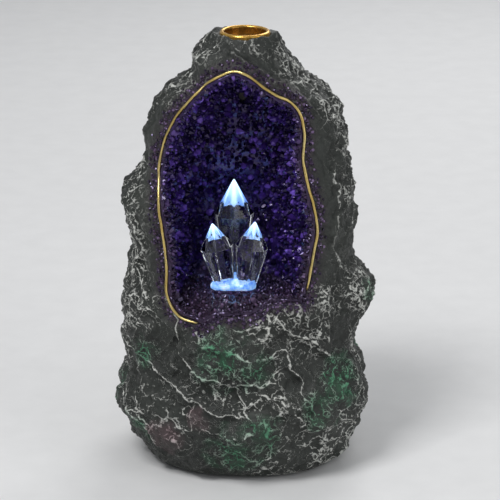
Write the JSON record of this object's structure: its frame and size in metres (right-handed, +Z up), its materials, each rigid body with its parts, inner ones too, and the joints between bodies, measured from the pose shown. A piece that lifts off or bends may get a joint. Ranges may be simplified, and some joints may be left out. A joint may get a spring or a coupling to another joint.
{
  "type": "backflow incense burner",
  "caption": "Standing rock-shaped backflow incense burner with a gilt-edged crystal cave, lit glass points, lift-out cone dish and battery base.",
  "frame": {"origin": "on the table, under the middle of the rock's bounding box", "axes": "+Z up, -Y out of the cave mouth towards the viewer, +X to the viewer's right"},
  "size_m": [0.12, 0.1136, 0.2],
  "materials": {
    "rock": "matte",
    "druse": "gloss",
    "gilding": "satin",
    "dish_gold": "satin",
    "crystal": "polished",
    "frosted_light": "satin",
    "white_plastic": "satin",
    "board": "satin",
    "lamp": "gloss",
    "black_plastic": "matte",
    "steel": "satin",
    "rubber": "matte",
    "cell_jacket": "gloss",
    "contact": "polished",
    "red_wire": "satin",
    "black_wire": "satin"
  },
  "bodies": {
    "rock": {"rock_base": "rock", "rock_shelf": "rock", "rock_grotto": "rock", "rock_crown": "rock", "druse_lining": "druse", "gilt_bead": "gilding", "crystal_left": "crystal", "crystal_right": "crystal", "crystal_rear": "crystal", "crystal_base": "frosted_light", "led_holder": "white_plastic", "led_board": "board", "led_lamp": "lamp", "led_holder_screws": "steel", "base_cover": "black_plastic", "base_screws": "steel", "rubber_feet": "rubber", "cell_left": "cell_jacket", "cell_middle": "cell_jacket", "cell_right": "cell_jacket", "cell_springs": "contact", "cell_plates": "contact", "switch_bezel": "black_plastic", "switch_body": "black_plastic", "bezel_screws": "steel", "wire_battery_to_switch": "red_wire", "wire_switch_to_led": "red_wire", "wire_led_to_battery": "black_wire"},
    "dish": {"cone_dish": "dish_gold"},
    "slider": {"switch_slider": "white_plastic"},
    "door": {"battery_door": "black_plastic", "battery_door_screw": "steel"}
  },
  "joints": [
    {"name": "cone_dish_lift", "type": "slide", "parent": "rock", "child": "dish", "axis": [0, 0, 1], "range_m": [0, 0.03]},
    {"name": "switch_slide", "type": "slide", "parent": "rock", "child": "slider", "axis": [1, 0, 0], "range_m": [-0.004, 0]},
    {"name": "battery_door_hinge", "type": "hinge", "parent": "rock", "child": "door", "pos_m": [0, 0.02, 0.0032], "axis": [1, 0, 0], "range_deg": [0, 90]}
  ]
}
